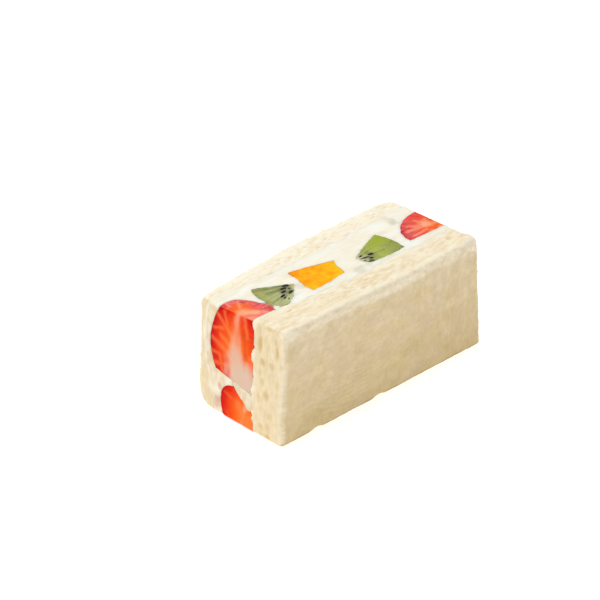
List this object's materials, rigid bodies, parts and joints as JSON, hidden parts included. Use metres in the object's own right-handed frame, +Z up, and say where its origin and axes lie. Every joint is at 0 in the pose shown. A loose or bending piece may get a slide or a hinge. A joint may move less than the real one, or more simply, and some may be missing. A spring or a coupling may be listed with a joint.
{
  "type": "fruit sandwich half",
  "caption": "Half of a crustless fruit sandwich lying cut face up: white bread slices, whipped cream, and cut strawberries, kiwi and mango.",
  "frame": {"origin": "centre of the bounding box's underside, on the surface that the sandwich lies on", "axes": "+Z up out of the cut face, +X along the cut from the end with the big strawberry, +Y from the near slice to the far slice"},
  "size_m": [0.108, 0.0498, 0.0471],
  "materials": {
    "bread": "soft open crumb of white bread, matt, with fine ochre pores",
    "cream": "whipped cream, softly satin, with knife smears",
    "strawberry": "moist cut flesh, glossy, pale fibres from the core to a deep red rim",
    "kiwi": "moist translucent green flesh, glossy, with black seeds and a pale core",
    "mango": "moist smooth flesh, glossy, faintly fibrous"
  },
  "bodies": {
    "root": {"bread_near": "bread", "bread_far": "bread", "cream": "cream", "strawberry_corner": "strawberry", "strawberry_low": "strawberry", "strawberry_far": "strawberry", "strawberry_far_low": "strawberry", "kiwi_near": "kiwi", "kiwi_far": "kiwi", "mango": "mango"}
  },
  "joints": []
}
